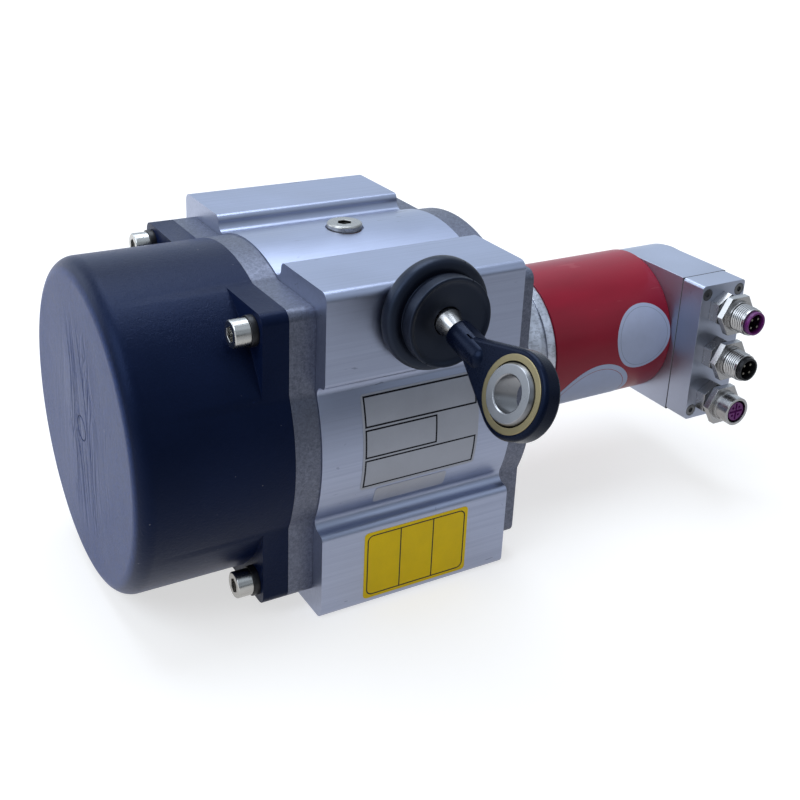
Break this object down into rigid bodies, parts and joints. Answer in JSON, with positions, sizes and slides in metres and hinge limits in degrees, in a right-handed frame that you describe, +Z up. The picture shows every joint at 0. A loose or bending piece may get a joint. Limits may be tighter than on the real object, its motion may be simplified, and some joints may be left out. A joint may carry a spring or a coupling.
{
  "type": "draw wire encoder",
  "caption": "Draw wire encoder: aluminium drum housing, black spring cap, red encoder tube with hood and round connectors, rubber wire buffer and rod end.",
  "frame": {"origin": "centre of the underside of the drum housing, where it is bolted down", "axes": "+Z up, +X along the drum axis towards the encoder, the wire leaves towards -Y"},
  "size_m": [0.2855, 0.2001, 0.1389],
  "materials": {
    "extruded_aluminium": "fine drawn lines along the extrusion, satin anodised",
    "cast_aluminium": "die cast, speckled vibratory finish",
    "cap_plastic": "satin moulded, dark blue-black",
    "screw_steel": "bright turned stainless steel",
    "sleeve_black": "blackened steel",
    "machined_aluminium": "fine turned finish",
    "red_tube": "deep red, satin",
    "hood_aluminium": "smooth machined, lightly blasted",
    "gasket_rubber": "matt black",
    "nickel": "nickel plated, satin",
    "insert_purple": "moulded contact carrier",
    "insert_black": "moulded contact carrier",
    "contact_gold": "gold plated",
    "buffer_rubber": "matt black",
    "brass_race": "machined brass",
    "rod_end_plastic": "moulded, satin black",
    "ball_steel": "ground and hardened",
    "wire_steel": "stranded stainless wire",
    "bronze": "machined bronze",
    "steel": "machined steel",
    "felt": "pressed felt",
    "copper": "soft sealing ring",
    "spring_steel": "blued spring strip",
    "glass": "clear disc with a fine pattern",
    "board": "glass fibre board",
    "elastomer": "elastic coupling disc"
  },
  "bodies": {
    "housing": {"drum_housing": "extruded_aluminium", "spring_side_flange": "cast_aluminium", "encoder_side_flange": "cast_aluminium", "spring_cap": "cap_plastic", "cap_screws": "screw_steel", "cap_screw_sleeves": "sleeve_black", "flange_screws": "screw_steel", "guide_sleeve": "steel", "bearing_outer_rings": "steel", "spring_cover": "steel", "coupling_bell": "machined_aluminium", "bell_screws": "screw_steel", "encoder_flange": "machined_aluminium", "encoder_tube": "red_tube", "encoder_bearing_outer_rings": "steel", "circuit_board": "board", "board_pillars": "steel", "scanning_head": "insert_black", "encoder_hood": "hood_aluminium", "hood_gasket": "gasket_rubber", "connector_plate": "hood_aluminium", "connector_plate_screws": "screw_steel", "connector_shell_top": "nickel", "connector_shell_middle": "nickel", "connector_shell_bottom": "nickel", "connector_nuts": "nickel", "connector_seals": "gasket_rubber", "connector_insert_top": "insert_purple", "connector_insert_middle": "insert_black", "connector_insert_bottom": "insert_purple", "contact_pins": "contact_gold", "plug_screw": "screw_steel", "plug_seal": "copper", "wire_outlet_bush": "bronze", "wire_wiper": "felt", "rubber_buffer": "buffer_rubber"},
    "drum_shaft": {"drum_shaft": "steel", "feather_key": "steel", "bearing_inner_rings": "steel", "bearing_balls": "ball_steel", "spring_arbor": "steel", "power_spring": "spring_steel", "shaft_collar": "steel", "coupling_drum_hub": "machined_aluminium", "coupling_disc": "elastomer", "coupling_encoder_hub": "machined_aluminium", "encoder_shaft": "steel", "encoder_bearing_inner_rings": "steel", "code_disc": "glass"},
    "drum": {"wire_drum": "machined_aluminium", "drum_nut": "bronze", "drum_end": "machined_aluminium", "wire_winding": "wire_steel"},
    "wire_end": {"measuring_wire": "wire_steel"},
    "ferrule": {"wire_ferrule": "nickel"},
    "rod_end": {"rod_end": "rod_end_plastic", "rod_end_race": "brass_race"},
    "rod_end_ball": {"rod_end_ball": "ball_steel"}
  },
  "joints": [
    {"name": "drum_spin", "type": "hinge", "parent": "housing", "child": "drum_shaft", "pos_m": [0, 0, 0.065], "axis": [1, 0, 0], "range_deg": [0, 11035.17], "stiffness_Nm_per_rad": 0.001, "springref_deg": -22918.31, "deforming": ["power_spring"]},
    {"name": "drum_travel", "type": "slide", "parent": "drum_shaft", "child": "drum", "axis": [1, 0, 0], "range_m": [0, 0.03067]},
    {"name": "wire_pull", "type": "slide", "parent": "housing", "child": "wire_end", "axis": [0, -1, 0], "range_m": [0, 10.2], "deforming": ["measuring_wire"]},
    {"name": "wire_end_tilt", "type": "hinge", "parent": "wire_end", "child": "ferrule", "pos_m": [0, -0.0765, 0.11794], "axis": [1, 0, 0], "range_deg": [-24, 0]},
    {"name": "rod_end_swivel", "type": "hinge", "parent": "ferrule", "child": "rod_end", "pos_m": [0, -0.0765, 0.11794], "axis": [0, -0.9781, -0.2079], "continuous": true},
    {"name": "ball_tilt", "type": "hinge", "parent": "rod_end", "child": "rod_end_ball", "pos_m": [0, -0.12003, 0.10869], "axis": [0.3502, -0.1947, 0.9162], "range_deg": [-14, 14]}
  ],
  "couplings": [
    {"joint": "drum_travel", "follows": "drum_spin", "m_per_rad": 0.00015915},
    {"joint": "wire_pull", "follows": "drum_spin", "m_per_rad": 0.05294}
  ]
}
